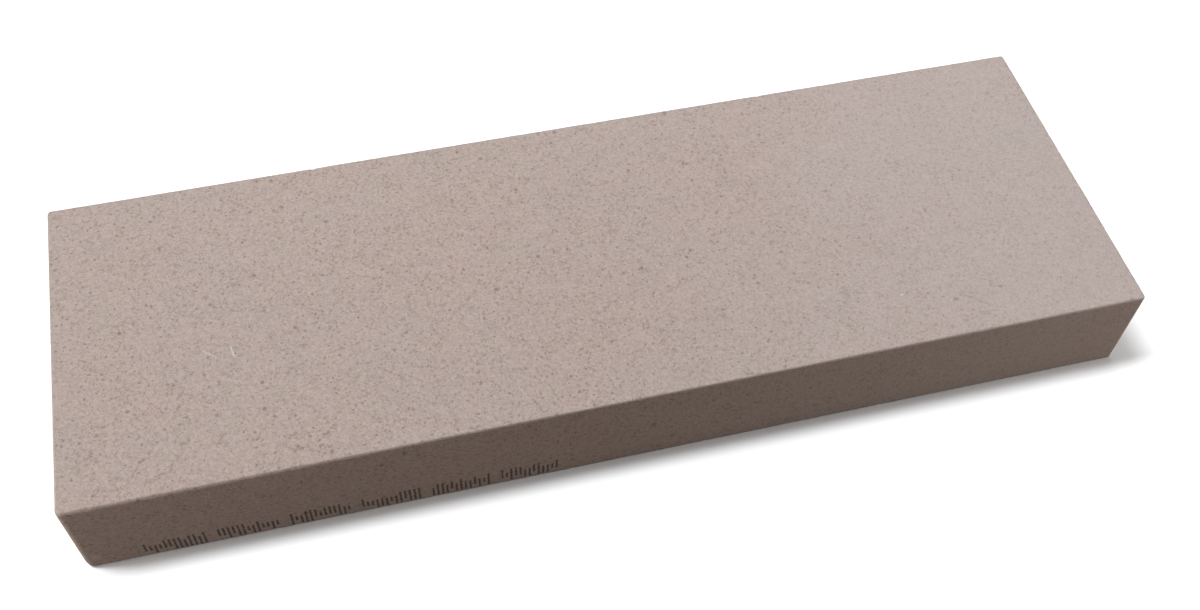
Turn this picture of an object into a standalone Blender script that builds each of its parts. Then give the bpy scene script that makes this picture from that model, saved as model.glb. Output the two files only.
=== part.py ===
"""Sharpening whetstone: one bonded-abrasive bench block, lying flat on its lower face.

Metres, +Z up. X runs along the length, Y across the width and Z through the thickness.
The origin is the centre of the lower face, where the block meets the bench.
"""

import bmesh
import bpy

# Driving dimensions
LENGTH = 0.210
WIDTH = 0.070
THICKNESS = 0.0215
CORNER_RADIUS = 0.0008  # the four upright corners, as they leave the mould
ARRIS_RADIUS = 0.0004  # the light easing round the two working faces

# How finely the two roundings are cut
CORNER_SEGMENTS = 8
ARRIS_SEGMENTS = 4

# Dry bonded abrasive: a matt, pinkish taupe
BLOCK_COLOUR = (0.46, 0.37, 0.335, 1.0)
BLOCK_ROUGHNESS = 0.85
BLOCK_METALLIC = 0.0

BARELY = 1e-6  # metres: how closely two heights are taken as the same


def clear_scene():
    for old in list(bpy.data.objects):
        bpy.data.objects.remove(old, do_unlink=True)


def plain_material(name, colour, roughness, metallic):
    material = bpy.data.materials.new(name)
    material.use_nodes = True
    shader = material.node_tree.nodes["Principled BSDF"]
    shader.inputs["Base Color"].default_value = colour
    shader.inputs["Roughness"].default_value = roughness
    shader.inputs["Metallic"].default_value = metallic
    return material


def is_upright(edge):
    low, high = edge.verts
    return abs(low.co.z - high.co.z) > BARELY


def rounded(shape, edges, radius, segments):
    """Round the given edges with an arc of this radius."""
    bmesh.ops.bevel(
        shape,
        geom=edges,
        offset=radius,
        offset_type="OFFSET",
        segments=segments,
        profile=0.5,
        affect="EDGES",
        clamp_overlap=True,
    )


def block_mesh():
    """The block: a box standing on z = 0, its upright corners rounded and then its arrises eased."""
    shape = bmesh.new()
    bmesh.ops.create_cube(shape, size=1.0)
    bmesh.ops.scale(shape, vec=(LENGTH, WIDTH, THICKNESS), verts=shape.verts)
    bmesh.ops.translate(shape, vec=(0.0, 0.0, THICKNESS / 2), verts=shape.verts)
    rounded(shape, [e for e in shape.edges if is_upright(e)], CORNER_RADIUS, CORNER_SEGMENTS)
    rounded(shape, [e for e in shape.edges if not is_upright(e)], ARRIS_RADIUS, ARRIS_SEGMENTS)
    bmesh.ops.recalc_face_normals(shape, faces=shape.faces)
    mesh = bpy.data.meshes.new("whetstone_block")
    shape.to_mesh(mesh)
    shape.free()
    mesh.shade_smooth()
    mesh.set_sharp_from_angle(angle=0.6)
    return mesh


def whetstone_block():
    """The whole object: one homogeneous block that is abrasive all the way through."""
    block = bpy.data.objects.new("whetstone_block", block_mesh())
    bpy.context.scene.collection.objects.link(block)
    block.data.materials.append(
        plain_material("bonded_abrasive", BLOCK_COLOUR, BLOCK_ROUGHNESS, BLOCK_METALLIC)
    )
    return block


clear_scene()
whetstone_block()
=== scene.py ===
"""The sharpening whetstone as it looks: one matt, finely speckled abrasive block on a white sweep."""
import math

import bmesh
import bpy
import numpy as np
from mathutils import Matrix, Vector, noise


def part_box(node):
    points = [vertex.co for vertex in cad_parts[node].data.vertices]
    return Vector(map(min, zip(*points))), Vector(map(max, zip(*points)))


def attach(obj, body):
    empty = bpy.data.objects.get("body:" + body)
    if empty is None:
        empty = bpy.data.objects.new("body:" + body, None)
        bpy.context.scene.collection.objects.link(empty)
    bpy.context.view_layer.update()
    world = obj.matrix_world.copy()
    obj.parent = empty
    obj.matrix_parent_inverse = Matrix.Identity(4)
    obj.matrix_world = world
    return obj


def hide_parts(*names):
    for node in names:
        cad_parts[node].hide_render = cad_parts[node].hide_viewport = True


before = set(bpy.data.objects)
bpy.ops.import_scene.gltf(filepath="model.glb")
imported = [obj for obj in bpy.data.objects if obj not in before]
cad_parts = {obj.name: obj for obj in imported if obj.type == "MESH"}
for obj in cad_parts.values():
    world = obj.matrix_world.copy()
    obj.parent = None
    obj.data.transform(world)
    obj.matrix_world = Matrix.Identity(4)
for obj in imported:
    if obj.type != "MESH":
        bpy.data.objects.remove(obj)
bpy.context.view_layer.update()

MM = 0.001

# ---------------------------------------------------------------- the block, in metres
# The origin is at the centre of the lower face, so that face is at z = 0
HALF_LENGTH, HALF_WIDTH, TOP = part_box("whetstone_block")[1]
CORNER_RADIUS = 0.8 * MM  # the upright edges
WORN_CORNER_RADIUS = 1.3 * MM  # the upright edge at the front left
ARRIS_RADIUS = 0.45 * MM  # how far an arris reaches down the side
ARRIS_REACH_IN = 0.6  # how far it reaches into the large face, as a share of that

# The arrises are uneven along their length, and more eased toward the front left corner
ARRIS_DRIFT = 0.15
ARRIS_DRIFT_SIZE = 9 * MM
ARRIS_EASED = 0.9  # how much wider the arris is at that corner itself
ARRIS_EASED_REACH = 90 * MM

# Wear of the arrises: its mean depth in mm, and the sizes of its uneven spots
WEAR_DEPTH = 0.03
DRIFT_SIZE = 6.0 * MM
RIPPLE_SIZE = 0.9 * MM
GRIT_SIZE = 0.35 * MM

CHIP_COUNT = 60
CHIP_SEED = 7
CHIP_ON_TOP = 0.6  # share of the chips on the upper arrises
CHIP_SMALLEST, CHIP_SPREAD = 0.3, 0.4  # radius in mm, and how much larger a chip may be
CHIP_BITE = (0.15, 0.3)  # depth as a share of the radius
CHIP_RAGGED = 0.4  # how much the grit roughens a chip
CORNER_CHIP = (1.7 * MM, 0.2 * MM)  # radius and depth of the one at the foot of the front left edge

# The mesh: fine along the arrises, coarse inside the two large faces
FINE_STEP = 0.4 * MM
COARSE_STEP = 1.6 * MM
COARSE_INSET = 2.4 * MM  # where the fine border meets the coarse middle
GRID_X, GRID_Y = HALF_LENGTH - COARSE_INSET, HALF_WIDTH - COARSE_INSET
CORNER_STEPS = 6
ARRIS_STEPS = 7
FACE_ROWS = (0.22, 0.10)  # mm past the arris, on the large face
SIDE_ROWS = (0.2, 0.5, 1.0, 1.8, 3.0, 4.6, 6.8)  # mm past the arris, down the side

# ---------------------------------------------------------------- the stone's colours and grain
STONE_WARM = (0.321, 0.262, 0.234, 1.0)
STONE_COOL = (0.316, 0.265, 0.238, 1.0)
STONE_PINK = (0.331, 0.259, 0.237, 1.0)
# The pale colour that the right end is mixed toward: partly the stone's tone, partly painted sheen
STONE_BLOOM_AND_SHEEN = (0.425, 0.376, 0.365, 1.0)
ARRIS_DULL = (0.270, 0.221, 0.191, 1.0)
SPECK_BROWN = (0.172, 0.119, 0.097, 1.0)
SPECK_RUST = (0.163, 0.100, 0.078, 1.0)
SPECK_DARK = (0.107, 0.073, 0.060, 1.0)
SPECK_OLIVE = (0.223, 0.193, 0.158, 1.0)
SCUFF_PALE = (0.530, 0.512, 0.512, 1.0)
INK = (0.028, 0.022, 0.020, 1.0)

# Warm and cool clouds, pinker blotches, single grains and a fine unevenness. Here and below, the
# two values of a RAMP are those of the noise where an effect starts and where it is full.
CLOUD_SIZE, CLOUD_DETAIL, CLOUD_RAMP = 28 * MM, 3.0, (0.35, 0.65)
BLOTCH_SIZE, BLOTCH_RAMP, BLOTCH_STRENGTH = 7 * MM, (0.4, 0.6), 0.5
GRAIN_SIZE, GRAIN_CONTRAST = 0.38 * MM, 0.24
GRAIN_TINT = 0.04  # how much warmer one grain may be than another
FINE_SIZE, FINE_CONTRAST = 0.35 * MM, 0.40
FINE_DETAIL, FINE_ROUGHNESS = 2.0, 0.6

# Clumps of dark grit, which gather in swarms
SWARM_SIZE = 3.2 * MM
CLUMP_SIZE, CLUMP_DETAIL, CLUMP_RAMP = 0.80 * MM, 1.0, (0.75, 0.90)
CLUMP_BY_SWARM = 0.35
CLUMP_STRENGTH = 0.40

# The specks are bent out of round, and their grid is turned so that no row of them follows an edge
BEND_SIZE, BEND_DETAIL, BEND = 0.5 * MM, 1.0, 0.5 * MM
GRID_TURN = (0.5, 0.3, 0.7)

# Specks: spacing, share of the places taken, smallest and largest radius, softness of the rim
SMEAR = (5.00 * MM, 0.20, 0.70 * MM, 1.60 * MM, 0.95)
FLECK = (0.50 * MM, 0.42, 0.12 * MM, 0.24 * MM, 0.60)
SMALL = (0.90 * MM, 0.36, 0.20 * MM, 0.42 * MM, 0.75)
LARGE = (2.20 * MM, 0.18, 0.32 * MM, 0.66 * MM, 0.75)
SMEAR_STRENGTH = 0.15
FLECK_STRENGTH = 0.60
SMALL_STRENGTH = 0.68
LARGE_STRENGTH = 0.60

# A paler, lavender tone toward the right end, with an uneven front: partly the stone's own tone, partly
# painted sheen that makes that end lighter and its grain fainter
BLOOM_AND_SHEEN_START, BLOOM_AND_SHEEN_FULL = 25 * MM, 150 * MM
BLOOM_AND_SHEEN_BY_CLOUD, BLOOM_AND_SHEEN_BY_BLOTCH = 50 * MM, 30 * MM
BLOOM_AND_SHEEN_STRENGTH = 0.33

# The arrises are duller and a little smoother than the faces
ARRIS_BAND = (0.8 * MM, 0.15 * MM)  # distances from the edge where the band starts and is full
DULL_RAMP, ARRIS_DULLNESS = (0.3, 0.7), (0.1, 0.5)
ARRIS_SMOOTHER = -0.12

ROUGH_RAMP, ROUGHNESS = (0.3, 0.7), (0.72, 0.9)
SPECULAR_LEVEL = 0.35
BUMP_STRENGTH, BUMP_HEIGHT = 0.8, 0.06 * MM
BUMP_BY_GRAIN, BUMP_BY_SPECK = 0.5, -0.5

# A pale smudge low on the front face, by the left corner
SMUDGE_AT = (-HALF_LENGTH + 2.4 * MM, -HALF_WIDTH, 3.8 * MM)
SMUDGE_RIM = (1.6 * MM, 0.3 * MM)
SMUDGE_STRENGTH = 0.22

# Pale scuffs on the working face: middle x and y, length, half width (all mm) and direction in degrees
SCUFFS = (
    (-71.9, -7.5, 3.8, 0.18, -78.0),
    (-76.0, -7.2, 4.6, 0.11, -40.0),
    (57.3, -23.3, 0.8, 0.30, 20.0),
)
SCUFF_RAMP, SCUFF_STRENGTH = (0.3, 0.55), (0.15, 0.6)
SCUFF_DEPTH = 0.5 * MM  # how far below the working face a scuff still shows

# The printed row of dots low on the front face: a plain pattern of bars that spells nothing
INK_START = -HALF_LENGTH + 11.0 * MM
INK_END = INK_START + 79.2 * MM
INK_FOOT = 0.8 * MM  # height of the lowest dots above the lower face
INK_DEPTH = 0.15 * MM  # how far behind the front face the print still shows, on its worn surface
INK_RAMP, INK_OPACITY = (0.35, 0.65), (1.0, 0.8)
DOT_ACROSS, DOT_UP = 0.45 * MM, 0.60 * MM
DOT_RADIUS = 0.31 * MM
DOT_CORE = 0.7  # the full-strength middle of a dot, as a share of its radius
DOT_WANDER_SIZE, DOT_WANDER = 0.6 * MM, 0.25 * MM  # how unevenly the dots are placed and shaped
DOT_ROWS = 7
BAR_TRIM = 2.0  # rows that a bar may lack at its foot or its head
BAR_EVERY = 2  # columns
GROUP_COLUMNS, GROUP_GAP = 30, 4

# ---------------------------------------------------------------- the camera and the studio, in metres
SENSOR_WIDTH, LENS = 36.0, 40.605  # mm
CLIP = (0.01, 50.0)
CAMERA_AT = (-45.853, -159.643, 236.374)  # mm
CAMERA_TURN = (16.711, 54.424, 3.131)  # degrees: to the right of +Y, downward, and roll

FLOOR_RADIUS = 0.4
FLOOR_SIDES = 96
FLOOR_GAP = 0.02 * MM  # so that the floor and the block's lower face don't share a plane
WHITE = (1.0, 1.0, 1.0)
# The floor and the surroundings are white to the camera, and darker as light on the block
FLOOR_SEEN = (0.96, 0.98, 1.0, 1.0)
FLOOR_BOUNCE = (0.22, 0.17, 0.14, 1.0)
WORLD_SEEN = (*WHITE, 1.0)
WORLD_LIGHT = (0.215, 0.215, 0.215, 1.0)
LAMPS = (
    # name, azimuth and elevation in degrees, distance, (width, depth), power in watts, colour
    ("key", -74.2, 68.9, 3.0, (1.3, 0.48), 75.0, WHITE),
    ("sheen", -5.0, 40.0, 0.45, (0.5, 0.3), 1.25, WHITE),
    ("fill_right", 125.0, 12.0, 0.3, (0.12, 0.03), 0.112, (1.0, 0.92, 0.85)),
    ("fill_left", -125.0, 14.0, 0.3, (0.12, 0.03), 0.084, (1.0, 0.92, 0.85)),
    ("rim_right", 91.0, 1.5, 0.5, (0.2, 0.02), 1.5, (1.0, 0.98, 0.95)),
    ("rim_left", -91.0, 1.5, 0.5, (0.2, 0.02), 1.4, (1.0, 0.96, 0.86)),
)


# ---------------------------------------------------------------- the block's mesh
def outline():
    """(point, outward normal) at every step round the block, seen from above."""
    corners = []
    for x_side, y_side in ((1, -1), (1, 1), (-1, 1), (-1, -1)):
        radius = WORN_CORNER_RADIUS if (x_side, y_side) == (-1, -1) else CORNER_RADIUS
        corners.append((x_side * (HALF_LENGTH - radius), y_side * (HALF_WIDTH - radius), radius))
    points = []
    for side, (x, y, radius) in enumerate(corners):
        for step in range(CORNER_STEPS):
            angle = math.pi / 2 * (side - 1 + step / CORNER_STEPS)
            nx, ny = math.cos(angle), math.sin(angle)
            points.append(((x + radius * nx, y + radius * ny), (nx, ny)))
        angle = math.pi / 2 * side
        nx, ny = math.cos(angle), math.sin(angle)
        next_x, next_y, next_radius = corners[(side + 1) % 4]
        first = (x + radius * nx, y + radius * ny)
        last = (next_x + next_radius * nx, next_y + next_radius * ny)
        steps = round(math.dist(first, last) / FINE_STEP)
        for step in range(steps):
            share = step / steps
            here = (first[0] + (last[0] - first[0]) * share, first[1] + (last[1] - first[1]) * share)
            points.append((here, (nx, ny)))
    return points


def profile():
    """Rows from the large face down the side: (angle on the arris or None, distance past it).

    The distance is above 0 on the large face, and below 0 on the side.
    """
    rows = [(None, distance * MM) for distance in FACE_ROWS]
    rows += [(math.pi / 2 * step / ARRIS_STEPS, 0.0) for step in range(ARRIS_STEPS + 1)]
    rows += [(None, -distance * MM) for distance in SIDE_ROWS]
    return rows


def easing(x, y, upper):
    """The arris's radius at this place."""
    drift = noise.noise(Vector((x, y, 0.0 if upper else TOP)) / ARRIS_DRIFT_SIZE)
    corner = max(0.0, 1 - math.hypot(x + HALF_LENGTH, y + HALF_WIDTH) / ARRIS_EASED_REACH)
    return ARRIS_RADIUS * (1 + ARRIS_DRIFT * drift + ARRIS_EASED * corner)


def row_place(row, radius):
    """(inset, depth below the face, share of the wear) of one profile row on an arris of this radius."""
    angle, past = row
    reach = radius * ARRIS_REACH_IN
    if angle is None:
        return (reach + past, 0.0, 0.0) if past > 0 else (0.0, radius - past, 0.0)
    return reach * (1 - math.sin(angle)), radius * (1 - math.cos(angle)), math.sin(2 * angle)


def wear(point, share, chips):
    """How far a point of the surface has gone in, in metres: the arris is uneven and lightly chipped."""
    drift = noise.noise(point / DRIFT_SIZE)
    ripple = noise.noise(point / RIPPLE_SIZE)
    grit = noise.noise(point / GRIT_SIZE)
    depth = share * WEAR_DEPTH * (1 + drift + ripple + grit) * MM
    for centre, radius, bite in chips:
        away = (point - centre).length / radius
        if away < 1:
            depth = max(depth, bite * (1 - away * away) * (1 + CHIP_RAGGED * grit))
    return max(depth, 0.0)


def chips_along_arrises(rng):
    """Small bites out of the eight long and short arrises, fewer of them the larger they are."""
    chips = []
    for _ in range(CHIP_COUNT):
        along = rng.uniform(-1, 1)
        z = TOP if rng.random() < CHIP_ON_TOP else 0.0
        if rng.random() < HALF_LENGTH / (HALF_LENGTH + HALF_WIDTH):
            centre = Vector((along * HALF_LENGTH, math.copysign(HALF_WIDTH, rng.random() - 0.5), z))
        else:
            centre = Vector((math.copysign(HALF_LENGTH, rng.random() - 0.5), along * HALF_WIDTH, z))
        radius = (CHIP_SMALLEST + CHIP_SPREAD * rng.random() ** 3) * MM
        chips.append((centre, radius, radius * rng.uniform(*CHIP_BITE)))
    chips.append((Vector((-HALF_LENGTH, -HALF_WIDTH, 0.0)), *CORNER_CHIP))
    return chips


def border(shape):
    """The worn side wall with its two arrises, as rings of points. Returns the first and last ring."""
    rows = profile()
    places = [(row, True) for row in rows] + [(row, False) for row in reversed(rows)]
    chips = chips_along_arrises(np.random.default_rng(CHIP_SEED))
    around = outline()
    rings = []
    for row, upper in places:
        ring = []
        for (x, y), (nx, ny) in around:
            radius = easing(x, y, upper)
            inset, depth, share = row_place(row, radius)
            height = TOP - depth if upper else depth
            point = Vector((x - inset * nx, y - inset * ny, height))
            lean = (1.0 if upper else -1.0) if depth < radius else 0.0
            out = Vector((nx, ny, lean)).normalized()
            near = [chip for chip in chips if (chip[0] - point).length < chip[1]]
            ring.append(shape.verts.new(point - out * wear(point, share, near)))
        rings.append(ring)
    for above, below in zip(rings, rings[1:]):
        count = len(above)
        for i in range(count):
            j = (i + 1) % count
            shape.faces.new((above[i], below[i], below[j], above[j]))
    return rings[0], rings[-1]


def middle(shape, height, up):
    """The coarse grid inside a large face: its rim, and how far round it each rim point is, in sides."""
    steps_x = round(2 * GRID_X / COARSE_STEP)
    steps_y = round(2 * GRID_Y / COARSE_STEP)
    grid = [
        [
            shape.verts.new((GRID_X * (2 * i / steps_x - 1), GRID_Y * (2 * j / steps_y - 1), height))
            for j in range(steps_y + 1)
        ]
        for i in range(steps_x + 1)
    ]
    for i in range(steps_x):
        for j in range(steps_y):
            corners = (grid[i][j], grid[i + 1][j], grid[i + 1][j + 1], grid[i][j + 1])
            shape.faces.new(corners if up else corners[::-1])
    rim = [grid[steps_x][j] for j in range(steps_y)]
    rim += [grid[i][steps_y] for i in range(steps_x, 0, -1)]
    rim += [grid[0][j] for j in range(steps_y, 0, -1)]
    rim += [grid[i][0] for i in range(steps_x)]
    counts = (steps_y, steps_x, steps_y, steps_x)
    turns = [side + step / count for side, count in enumerate(counts) for step in range(count)]
    return rim, turns


def turn(vert):
    """How far round the coarse grid's rim a point lies, in sides from the front right corner."""
    x, y = vert.co.x / GRID_X, vert.co.y / GRID_Y
    if abs(vert.co.x) - GRID_X >= abs(vert.co.y) - GRID_Y:
        share = (min(max(y, -1.0), 1.0) + 1) / 2
        return share if x > 0 else 3 - share
    share = (min(max(x, -1.0), 1.0) + 1) / 2
    return 2 - share if y > 0 else 3 + share


def stitch(shape, outer, inner, inner_turns, up):
    """Close the gap between two rings that have different numbers of points."""
    start = min(range(len(outer)), key=lambda i: turn(outer[i]))
    outer = outer[start:] + outer[:start]
    outer_turns = [turn(v) for v in outer] + [4.0]
    inner_turns = inner_turns + [4.0]
    i = j = 0
    while i < len(outer) or j < len(inner):
        a, b = outer[i % len(outer)], inner[j % len(inner)]
        step_outer = j == len(inner) or (
            i < len(outer)
            and outer_turns[i] + outer_turns[i + 1] <= inner_turns[j] + inner_turns[j + 1]
        )
        if step_outer:
            i += 1
            face = (a, outer[i % len(outer)], b)
        else:
            j += 1
            face = (a, inner[j % len(inner)], b)
        shape.faces.new(face if up else face[::-1])


def block_piece():
    shape = bmesh.new()
    top_ring, lower_ring = border(shape)
    stitch(shape, top_ring, *middle(shape, TOP, True), True)
    stitch(shape, lower_ring, *middle(shape, 0.0, False), False)
    mesh = bpy.data.meshes.new("abrasive_block")
    shape.to_mesh(mesh)
    shape.free()
    mesh.shade_smooth()
    piece = bpy.data.objects.new("abrasive_block", mesh)
    bpy.context.scene.collection.objects.link(piece)
    return piece


# ---------------------------------------------------------------- materials
class Nodes:
    """A material's node tree, with one short call for each kind of node used here."""

    def __init__(self, name):
        self.material = bpy.data.materials.new(name)
        self.material.use_nodes = True
        self.tree = self.material.node_tree
        self.shader = self.tree.nodes["Principled BSDF"]

    def add(self, kind, inputs=(), **settings):
        node = self.tree.nodes.new(kind)
        for name, value in settings.items():
            setattr(node, name, value)
        for name, value in dict(inputs).items():
            self.put(value, node.inputs[name])
        return node

    def put(self, value, socket):
        if isinstance(value, bpy.types.NodeSocket):
            self.tree.links.new(value, socket)
        else:
            socket.default_value = value

    def math(self, operation, a, b=0.0, c=0.0):
        return self.add("ShaderNodeMath", {0: a, 1: b, 2: c}, operation=operation).outputs[0]

    def product(self, first, *others):
        result = first
        for other in others:
            result = self.math("MULTIPLY", result, other)
        return result

    def vector_math(self, operation, a, b, output="Vector"):
        return self.add("ShaderNodeVectorMath", {0: a, 1: b}, operation=operation).outputs[output]

    def axes(self, place):
        return self.add("ShaderNodeSeparateXYZ", {"Vector": place}).outputs

    def ramp(self, value, low, high, to_low=0.0, to_high=1.0):
        """A smooth step of value, from to_low at low to to_high at high."""
        inputs = {"Value": value, "From Min": low, "From Max": high, "To Min": to_low, "To Max": to_high}
        node = self.add("ShaderNodeMapRange", inputs, interpolation_type="SMOOTHSTEP")
        return node.outputs["Result"]

    def mix(self, factor, a, b, blend="MIX"):
        """A mix of two colours. The node's sockets for colours are inputs 6 and 7 and output 2."""
        node = self.add("ShaderNodeMix", data_type="RGBA", blend_type=blend)
        self.put(factor, node.inputs[0])
        self.put(a, node.inputs[6])
        self.put(b, node.inputs[7])
        return node.outputs[2]

    def noise(self, place, size, detail=2.0, roughness=0.5, output="Fac"):
        """Cloudy noise from 0 to 1 whose largest features are about this size, in metres."""
        inputs = {"Vector": place, "Scale": 1 / size, "Detail": detail, "Roughness": roughness}
        return self.add("ShaderNodeTexNoise", inputs).outputs[output]

    def grains(self, place, size):
        """(distance to the grain's centre, two random numbers of it), for grains this far apart."""
        node = self.add("ShaderNodeTexVoronoi", {"Vector": place, "Scale": 1 / size})
        parts = self.add("ShaderNodeSeparateColor", {"Color": node.outputs["Color"]})
        return node.outputs["Distance"], parts.outputs[0], parts.outputs[1]

    def specks(self, place, size, share, small, large, soft):
        """A mask of round specks in this share of the grains, with radii from small to large."""
        distance, chance, spread = self.grains(place, size)
        chosen = self.math("LESS_THAN", chance, share)
        radius = self.math("MULTIPLY_ADD", spread, (large - small) / size, small / size)
        inner = self.math("MULTIPLY", radius, 1 - soft)
        return self.math("MULTIPLY", self.ramp(distance, radius, inner), chosen)


def ink_mask(n, place):
    """Bars of dots whose foot and head each take one of two heights, by chance."""
    wander = n.noise(place, DOT_WANDER_SIZE, output="Color")
    wander = n.vector_math("SUBTRACT", wander, (0.5, 0.5, 0.5))
    wander = n.vector_math("MULTIPLY", wander, (DOT_WANDER,) * 3)
    axes = n.axes(n.vector_math("ADD", place, wander))
    column = n.math("DIVIDE", n.math("SUBTRACT", axes["X"], INK_START), DOT_ACROSS)
    row = n.math("DIVIDE", n.math("SUBTRACT", axes["Z"], INK_FOOT), DOT_UP)
    column_number, row_number = n.math("FLOOR", column), n.math("FLOOR", row)
    beside = n.math("MULTIPLY", n.math("SUBTRACT", n.math("FRACT", column), 0.5), DOT_ACROSS)
    above = n.math("MULTIPLY", n.math("SUBTRACT", n.math("FRACT", row), 0.5), DOT_UP)
    away = n.math("SQRT", n.math("ADD", n.math("POWER", beside, 2.0), n.math("POWER", above, 2.0)))
    dot = n.ramp(away, DOT_RADIUS, DOT_RADIUS * DOT_CORE)

    dice = n.add("ShaderNodeTexWhiteNoise", {"W": column_number}, noise_dimensions="1D")
    chances = n.add("ShaderNodeSeparateColor", {"Color": dice.outputs["Color"]}).outputs
    foot = n.math("MULTIPLY", n.math("GREATER_THAN", chances[0], 0.5), BAR_TRIM)
    trim = n.math("MULTIPLY", n.math("GREATER_THAN", chances[1], 0.5), BAR_TRIM)
    head = n.math("SUBTRACT", DOT_ROWS, trim)
    past_foot = n.math("GREATER_THAN", row_number, n.math("SUBTRACT", foot, 0.5))
    before_head = n.math("LESS_THAN", row_number, n.math("SUBTRACT", head, 0.5))
    bar = n.math("LESS_THAN", n.math("FLOORED_MODULO", column_number, BAR_EVERY), 0.5)
    place_in_group = n.math("FLOORED_MODULO", column_number, GROUP_COLUMNS)
    group = n.math("LESS_THAN", place_in_group, GROUP_COLUMNS - GROUP_GAP)
    past_start = n.math("GREATER_THAN", axes["X"], INK_START)
    before_end = n.math("LESS_THAN", axes["X"], INK_END)
    front = n.math("LESS_THAN", axes["Y"], -HALF_WIDTH + INK_DEPTH)
    return n.product(dot, past_foot, before_head, bar, group, past_start, before_end, front)


def arris_mask(n, place):
    """1 on every arris and corner of the block, falling to 0 a short way into each face."""
    axes = n.axes(place)
    to_end = n.math("SUBTRACT", HALF_LENGTH, n.math("ABSOLUTE", axes["X"]))
    to_side = n.math("SUBTRACT", HALF_WIDTH, n.math("ABSOLUTE", axes["Y"]))
    to_face = n.math("MINIMUM", axes["Z"], n.math("SUBTRACT", TOP, axes["Z"]))
    total = n.math("ADD", n.math("ADD", to_end, to_side), to_face)
    least = n.math("MINIMUM", n.math("MINIMUM", to_end, to_side), to_face)
    most = n.math("MAXIMUM", n.math("MAXIMUM", to_end, to_side), to_face)
    between = n.math("SUBTRACT", n.math("SUBTRACT", total, least), most)
    return n.ramp(between, *ARRIS_BAND)


def scuff_mask(n, place, x, y, length, half_width, degrees):
    """A short soft-edged stroke on the working face."""
    turned = n.add(
        "ShaderNodeMapping",
        {
            "Vector": place,
            "Location": (x * MM, y * MM, TOP),
            "Rotation": (0.0, 0.0, math.radians(degrees)),
        },
        vector_type="TEXTURE",
    )
    axes = n.axes(turned.outputs[0])
    lengthwise = n.ramp(n.math("ABSOLUTE", axes["X"]), length / 2 * MM, length / 4 * MM)
    across = n.ramp(n.math("ABSOLUTE", axes["Y"]), half_width * MM, half_width / 3 * MM)
    on_top = n.math("GREATER_THAN", axes["Z"], -SCUFF_DEPTH)
    return n.product(lengthwise, across, on_top)


def bent_place(n, place):
    """The coordinates that the specks and grains use."""
    jitter = n.noise(place, BEND_SIZE, BEND_DETAIL, output="Color")
    bend = n.vector_math("MULTIPLY", jitter, (BEND,) * 3)
    moved = n.vector_math("ADD", place, bend)
    return n.add("ShaderNodeMapping", {"Vector": moved, "Rotation": GRID_TURN}).outputs[0]


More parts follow.
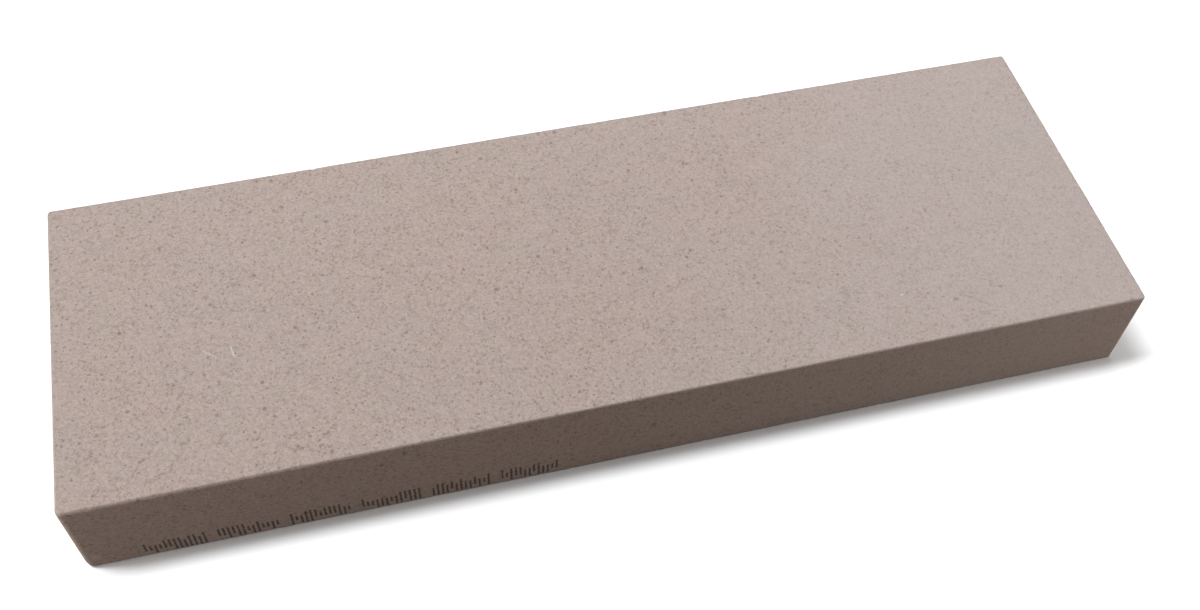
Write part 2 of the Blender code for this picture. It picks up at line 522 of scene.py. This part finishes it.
def stone_material():
    n = Nodes("abrasive_stone")
    place = n.add("ShaderNodeTexCoord").outputs["Object"]
    place_bent = bent_place(n, place)
    fine = n.noise(place, FINE_SIZE, FINE_DETAIL, FINE_ROUGHNESS)
    swarm = n.noise(place, SWARM_SIZE)

    # Clouds and blotches
    cloud = n.noise(place, CLOUD_SIZE, CLOUD_DETAIL)
    blotch = n.noise(place, BLOTCH_SIZE)
    colour = n.mix(n.ramp(cloud, *CLOUD_RAMP), STONE_WARM, STONE_COOL)
    colour = n.mix(n.ramp(blotch, *BLOTCH_RAMP, 0.0, BLOTCH_STRENGTH), colour, STONE_PINK)

    # Each grain has its own tone and tint
    grain_distance, grain_tone, grain_tint = n.grains(place_bent, GRAIN_SIZE)
    tone = n.math("MULTIPLY_ADD", grain_tone, GRAIN_CONTRAST, 1 - GRAIN_CONTRAST / 2)
    tone = n.math("MULTIPLY_ADD", fine, FINE_CONTRAST, n.math("SUBTRACT", tone, FINE_CONTRAST / 2))
    warm = n.math("MULTIPLY_ADD", grain_tint, GRAIN_TINT, -GRAIN_TINT / 2)
    tint = {0: n.math("ADD", tone, warm), 1: tone, 2: n.math("SUBTRACT", tone, warm)}
    colour = n.mix(1.0, colour, n.add("ShaderNodeCombineColor", tint).outputs[0], "MULTIPLY")

    # Dark grit, from the faintest and widest to the darkest
    grit = n.noise(place_bent, CLUMP_SIZE, CLUMP_DETAIL)
    grit = n.math("MULTIPLY_ADD", swarm, CLUMP_BY_SWARM, grit)
    small = n.specks(place_bent, *SMALL)
    for mask, strength, speck_colour in (
        (n.specks(place_bent, *SMEAR), SMEAR_STRENGTH, SPECK_OLIVE),
        (n.ramp(grit, *CLUMP_RAMP), CLUMP_STRENGTH, SPECK_BROWN),
        (n.specks(place_bent, *FLECK), FLECK_STRENGTH, SPECK_BROWN),
        (small, SMALL_STRENGTH, SPECK_RUST),
        (n.specks(place_bent, *LARGE), LARGE_STRENGTH, SPECK_DARK),
    ):
        colour = n.mix(n.math("MULTIPLY", mask, strength), colour, speck_colour)

    # The pale tone and painted sheen at the right end, the dull arrises, the smudge, the scuffs and the
    # print lie over the grain
    # Painted sheen: the mix toward the pale colour makes the right end lighter and its grain fainter, as
    # a sheen of light would
    drift = n.math("MULTIPLY_ADD", cloud, BLOOM_AND_SHEEN_BY_CLOUD, n.axes(place)["X"])
    drift = n.math("MULTIPLY_ADD", blotch, BLOOM_AND_SHEEN_BY_BLOTCH, drift)
    bloom_and_sheen = n.ramp(drift, BLOOM_AND_SHEEN_START, BLOOM_AND_SHEEN_FULL, 0.0, BLOOM_AND_SHEEN_STRENGTH)
    colour = n.mix(bloom_and_sheen, colour, STONE_BLOOM_AND_SHEEN)
    arris = arris_mask(n, place)
    dullness = n.math("MULTIPLY", arris, n.ramp(swarm, *DULL_RAMP, *ARRIS_DULLNESS))
    colour = n.mix(dullness, colour, ARRIS_DULL)
    away = n.vector_math("DISTANCE", place, SMUDGE_AT, "Value")
    colour = n.mix(n.ramp(away, *SMUDGE_RIM, 0.0, SMUDGE_STRENGTH), colour, SCUFF_PALE)
    scuff_grain = n.ramp(fine, *SCUFF_RAMP, *SCUFF_STRENGTH)
    for scuff in SCUFFS:
        strength = n.math("MULTIPLY", scuff_mask(n, place, *scuff), scuff_grain)
        colour = n.mix(strength, colour, SCUFF_PALE)
    ink = n.math("MULTIPLY", ink_mask(n, place), n.ramp(fine, *INK_RAMP, *INK_OPACITY))
    n.put(n.mix(ink, colour, INK), n.shader.inputs["Base Color"])

    rough = n.ramp(fine, *ROUGH_RAMP, *ROUGHNESS)
    n.put(n.math("MULTIPLY_ADD", arris, ARRIS_SMOOTHER, rough), n.shader.inputs["Roughness"])
    height = n.math("MULTIPLY_ADD", grain_distance, BUMP_BY_GRAIN, fine)
    height = n.math("MULTIPLY_ADD", small, BUMP_BY_SPECK, height)
    bump = {"Height": height, "Strength": BUMP_STRENGTH, "Distance": BUMP_HEIGHT}
    n.put(n.add("ShaderNodeBump", bump).outputs["Normal"], n.shader.inputs["Normal"])
    n.shader.inputs["Specular IOR Level"].default_value = SPECULAR_LEVEL
    return n.material


# ---------------------------------------------------------------- stage
def camera():
    data = bpy.data.cameras.new("camera")
    data.sensor_width = SENSOR_WIDTH
    data.lens = LENS
    data.clip_start, data.clip_end = CLIP
    piece = bpy.data.objects.new("camera", data)
    bpy.context.scene.collection.objects.link(piece)
    azimuth, elevation, roll = (math.radians(angle) for angle in CAMERA_TURN)
    level = math.cos(elevation)
    ahead = Vector((math.sin(azimuth) * level, math.cos(azimuth) * level, -math.sin(elevation)))
    right = Matrix.Rotation(-roll, 3, ahead) @ ahead.cross(Vector((0, 0, 1))).normalized()
    up = right.cross(ahead)
    turned = Matrix((right, up, -ahead)).transposed().to_4x4()
    turned.translation = Vector(CAMERA_AT) * MM
    piece.matrix_world = turned
    bpy.context.scene.camera = piece


def lamp(name, azimuth, elevation, distance, size, power, colour):
    """A soft oval lamp that faces the block. Azimuth 0 is behind it and 90 beyond its right end."""
    data = bpy.data.lights.new(name, "AREA")
    data.shape = "ELLIPSE"
    data.size, data.size_y = size
    data.energy = power
    data.color = colour
    piece = bpy.data.objects.new(name, data)
    azimuth, elevation = math.radians(azimuth), math.radians(elevation)
    level = Vector((math.sin(azimuth), math.cos(azimuth), 0.0)) * math.cos(elevation)
    back = level + Vector((0.0, 0.0, math.sin(elevation)))
    piece.location = back * distance
    right = Vector((1.0, 0.0, 0.0)) - back * back.x
    right.normalize()
    up = back.cross(right)
    piece.rotation_euler = Matrix((right, up, back)).transposed().to_euler()
    bpy.context.scene.collection.objects.link(piece)


def floor():
    mesh = bpy.data.meshes.new("floor")
    shape = bmesh.new()
    bmesh.ops.create_circle(shape, cap_ends=True, segments=FLOOR_SIDES, radius=FLOOR_RADIUS)
    shape.to_mesh(mesh)
    shape.free()
    piece = bpy.data.objects.new("floor", mesh)
    piece.location.z = -FLOOR_GAP
    bpy.context.scene.collection.objects.link(piece)
    n = Nodes("white_sweep")
    seen = n.add("ShaderNodeLightPath").outputs["Is Camera Ray"]
    n.put(n.mix(seen, FLOOR_BOUNCE, FLOOR_SEEN), n.shader.inputs["Base Color"])
    n.shader.inputs["Roughness"].default_value = 1.0
    n.shader.inputs["Specular IOR Level"].default_value = 0.0
    mesh.materials.append(n.material)


def surroundings():
    world = bpy.data.worlds.new("studio")
    world.use_nodes = True
    tree = world.node_tree
    light = tree.nodes["Background"]
    light.inputs["Color"].default_value = WORLD_LIGHT
    backdrop = tree.nodes.new("ShaderNodeBackground")
    backdrop.inputs["Color"].default_value = WORLD_SEEN
    seen = tree.nodes.new("ShaderNodeLightPath")
    mix = tree.nodes.new("ShaderNodeMixShader")
    tree.links.new(seen.outputs["Is Camera Ray"], mix.inputs[0])
    tree.links.new(light.outputs[0], mix.inputs[1])
    tree.links.new(backdrop.outputs[0], mix.inputs[2])
    tree.links.new(mix.outputs[0], tree.nodes["World Output"].inputs["Surface"])
    bpy.context.scene.world = world


stone = block_piece()
stone.data.materials.append(stone_material())
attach(stone, "root")
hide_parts("whetstone_block")

floor()
surroundings()
camera()
for settings in LAMPS:
    lamp(*settings)
bpy.context.scene.view_settings.view_transform = "Standard"
